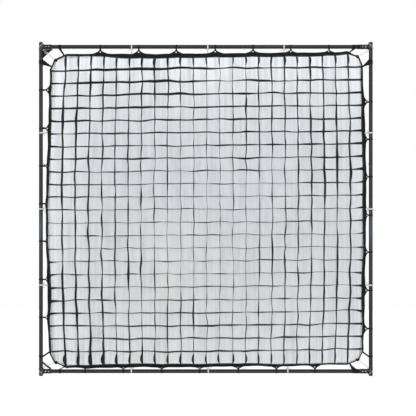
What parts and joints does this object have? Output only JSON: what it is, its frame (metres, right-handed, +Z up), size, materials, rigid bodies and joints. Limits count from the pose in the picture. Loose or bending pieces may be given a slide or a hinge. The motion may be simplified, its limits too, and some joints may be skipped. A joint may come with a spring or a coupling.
{
  "type": "egg-crate grid and diffusion frame",
  "caption": "Square tube frame holding a white diffusion textile and a black fabric egg-crate grid, both tied to its tubes.",
  "frame": {"origin": "centre of the bounding box, which is the middle of the square frame", "axes": "+Z up the posts, +X along the rails to the right seen from the front, -Y out of the grid's front"},
  "size_m": [2.4418, 0.0774, 2.438],
  "materials": {
    "black_tube": "satin black anodised tube",
    "bare_aluminium": "plain drawn tube",
    "black_casting": "black powder coat",
    "bright_steel": "zinc plated",
    "black_plastic": "moulded",
    "black_webbing": "woven polyester webbing",
    "grid_fabric": "thin black ripstop cloth",
    "white_textile": "thin white diffusion cloth with a sewn hem",
    "white_tape": "white cotton tape"
  },
  "bodies": {
    "frame": {"top_rail_long": "black_tube", "top_rail_short": "black_tube", "top_joint_sleeve": "bare_aluminium", "top_button_spring": "bright_steel", "grid_border_top": "black_webbing", "top_textile_tie_1": "white_tape", "top_textile_tie_2": "white_tape", "top_textile_tie_3": "white_tape", "right_post_long": "black_tube", "right_post_short": "black_tube", "right_joint_sleeve": "bare_aluminium", "right_button_spring": "bright_steel", "grid_border_right": "black_webbing", "right_textile_tie_1": "white_tape", "right_textile_tie_2": "white_tape", "right_textile_tie_3": "white_tape", "bottom_rail_long": "black_tube", "bottom_rail_short": "black_tube", "bottom_joint_sleeve": "bare_aluminium", "bottom_button_spring": "bright_steel", "grid_border_bottom": "black_webbing", "bottom_textile_tie_1": "white_tape", "bottom_textile_tie_2": "white_tape", "bottom_textile_tie_3": "white_tape", "left_post_long": "black_tube", "left_post_short": "black_tube", "left_joint_sleeve": "bare_aluminium", "left_button_spring": "bright_steel", "grid_border_left": "black_webbing", "left_textile_tie_1": "white_tape", "left_textile_tie_2": "white_tape", "left_textile_tie_3": "white_tape", "top_left_corner_fitting": "black_casting", "top_left_end_cap": "black_plastic", "top_left_screw_outer": "bright_steel", "top_left_screw_inner": "bright_steel", "top_left_corner_strap": "black_webbing", "top_right_corner_fitting": "black_casting", "top_right_end_cap": "black_plastic", "top_right_screw_outer": "bright_steel", "top_right_screw_inner": "bright_steel", "top_right_corner_strap": "black_webbing", "bottom_left_corner_fitting": "black_casting", "bottom_left_end_cap": "black_plastic", "bottom_left_screw_outer": "bright_steel", "bottom_left_screw_inner": "bright_steel", "bottom_left_corner_strap": "black_webbing", "bottom_right_corner_fitting": "black_casting", "bottom_right_end_cap": "black_plastic", "bottom_right_screw_outer": "bright_steel", "bottom_right_screw_inner": "bright_steel", "bottom_right_corner_strap": "black_webbing", "grid_upright_strips": "grid_fabric", "grid_level_strips": "grid_fabric", "diffusion_textile": "white_textile"},
    "top_button": {"top_snap_button": "bright_steel"},
    "right_button": {"right_snap_button": "bright_steel"},
    "bottom_button": {"bottom_snap_button": "bright_steel"},
    "left_button": {"left_snap_button": "bright_steel"}
  },
  "joints": [
    {"name": "top_button_press", "type": "slide", "parent": "frame", "child": "top_button", "axis": [0, 0, 1], "range_m": [0, 0.006], "stiffness_N_per_m": 3000, "springref_m": -0.002, "deforming": ["top_button_spring"]},
    {"name": "right_button_press", "type": "slide", "parent": "frame", "child": "right_button", "axis": [1, 0, 0], "range_m": [0, 0.006], "stiffness_N_per_m": 3000, "springref_m": -0.002, "deforming": ["right_button_spring"]},
    {"name": "bottom_button_press", "type": "slide", "parent": "frame", "child": "bottom_button", "axis": [0, 0, -1], "range_m": [0, 0.006], "stiffness_N_per_m": 3000, "springref_m": -0.002, "deforming": ["bottom_button_spring"]},
    {"name": "left_button_press", "type": "slide", "parent": "frame", "child": "left_button", "axis": [-1, 0, 0], "range_m": [0, 0.006], "stiffness_N_per_m": 3000, "springref_m": -0.002, "deforming": ["left_button_spring"]}
  ]
}
